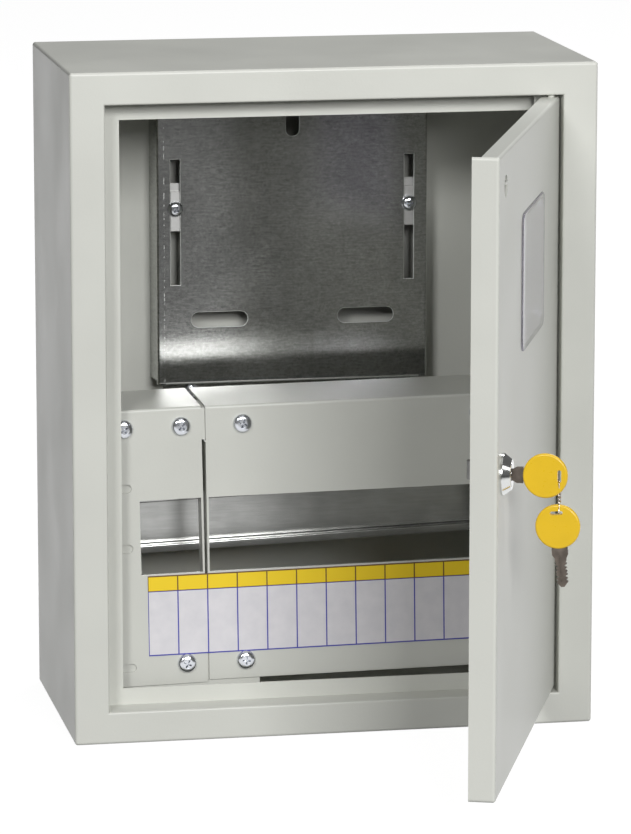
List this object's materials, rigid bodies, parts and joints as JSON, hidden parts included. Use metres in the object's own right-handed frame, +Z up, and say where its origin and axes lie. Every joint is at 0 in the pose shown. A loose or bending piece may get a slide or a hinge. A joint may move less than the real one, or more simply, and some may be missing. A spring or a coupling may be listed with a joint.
{
  "type": "electrical enclosure",
  "caption": "Wall-mounted sheet-steel meter and distribution enclosure with windowed tray door, cylinder lock and keys, meter plate, device rail, label strip and split cover plates.",
  "frame": {"origin": "centre of the underside of the cabinet, midway between its front and back planes", "axes": "+X to the right seen from the front, +Y towards the wall, +Z up; the door opens towards -Y"},
  "size_m": [0.31, 0.4014, 0.395],
  "materials": {
    "grey_powder_coat": "satin powder coat",
    "galvanised_steel": "galvanised, semi-bright",
    "zinc_plated_steel": "bright zinc plating",
    "chromed_lock": "polished chrome",
    "key_steel": "nickel plated",
    "yellow_plastic": "moulded, slightly glossy",
    "link_wire": "bare thin wire",
    "clear_pane": "clear pane",
    "black_rubber": "matt",
    "printed_label": "printed self-adhesive film",
    "brass_bar": "bare brass",
    "blue_insulator": "moulded"
  },
  "bodies": {
    "cabinet": {"body_shell": "grey_powder_coat", "back_panel": "grey_powder_coat", "upper_hinge_pin": "zinc_plated_steel", "lower_hinge_pin": "zinc_plated_steel", "hinge_washer": "zinc_plated_steel", "cover_carrier": "grey_powder_coat", "left_cover": "grey_powder_coat", "right_cover": "grey_powder_coat", "cover_screws": "zinc_plated_steel", "label_strip": "printed_label", "din_rail": "galvanised_steel", "left_rail_bracket": "galvanised_steel", "right_rail_bracket": "galvanised_steel", "rail_screws": "zinc_plated_steel", "meter_plate": "galvanised_steel", "plate_studs": "zinc_plated_steel", "plate_nuts": "zinc_plated_steel", "neutral_bar": "brass_bar", "earth_bar": "brass_bar", "neutral_insulators": "blue_insulator", "earth_posts": "zinc_plated_steel", "bar_screws": "zinc_plated_steel", "earth_stud": "zinc_plated_steel", "earth_nuts": "zinc_plated_steel"},
    "door": {"door": "grey_powder_coat", "upper_hinge_block": "grey_powder_coat", "lower_hinge_block": "grey_powder_coat", "window_pane": "clear_pane", "window_gasket": "black_rubber", "window_clamp": "galvanised_steel", "window_studs": "zinc_plated_steel", "window_nuts": "zinc_plated_steel", "lock_body": "chromed_lock", "lock_nut": "chromed_lock"},
    "lock_core": {"lock_plug": "chromed_lock", "lock_cam": "zinc_plated_steel", "cam_screw": "zinc_plated_steel"},
    "key": {"key_blade": "key_steel", "key_head": "yellow_plastic"},
    "link": {"key_link": "link_wire"},
    "spare_key": {"spare_key_blade": "key_steel", "spare_key_head": "yellow_plastic"},
    "left_slider": {"left_meter_slider": "zinc_plated_steel", "left_slider_screw": "zinc_plated_steel"},
    "right_slider": {"right_meter_slider": "zinc_plated_steel", "right_slider_screw": "zinc_plated_steel"}
  },
  "joints": [
    {"name": "door_hinge", "type": "hinge", "parent": "cabinet", "child": "door", "pos_m": [0.128, -0.0755, 0.1975], "axis": [0, 0, 1], "range_deg": [-69.7, 35]},
    {"name": "lock_turn", "type": "hinge", "parent": "door", "child": "lock_core", "pos_m": [0.04826, -0.30403, 0.1995], "axis": [-0.9379, 0.3469, 0], "range_deg": [0, 180]},
    {"name": "key_pull", "type": "slide", "parent": "lock_core", "child": "key", "axis": [0.9379, -0.3469, 0], "range_m": [0, 0.02]},
    {"name": "link_swing", "type": "hinge", "parent": "key", "child": "link", "pos_m": [0.07757, -0.31487, 0.1967], "axis": [0.3469, 0.9379, 0], "range_deg": [-10, 10]},
    {"name": "spare_key_swing", "type": "hinge", "parent": "link", "child": "spare_key", "pos_m": [0.07757, -0.31487, 0.1798], "axis": [0.3469, 0.9379, 0], "range_deg": [-25, 25]},
    {"name": "left_slider_slide", "type": "slide", "parent": "cabinet", "child": "left_slider", "axis": [0, 0, 1], "range_m": [-0.0325, 0.019]},
    {"name": "right_slider_slide", "type": "slide", "parent": "cabinet", "child": "right_slider", "axis": [0, 0, 1], "range_m": [-0.0325, 0.019]}
  ]
}
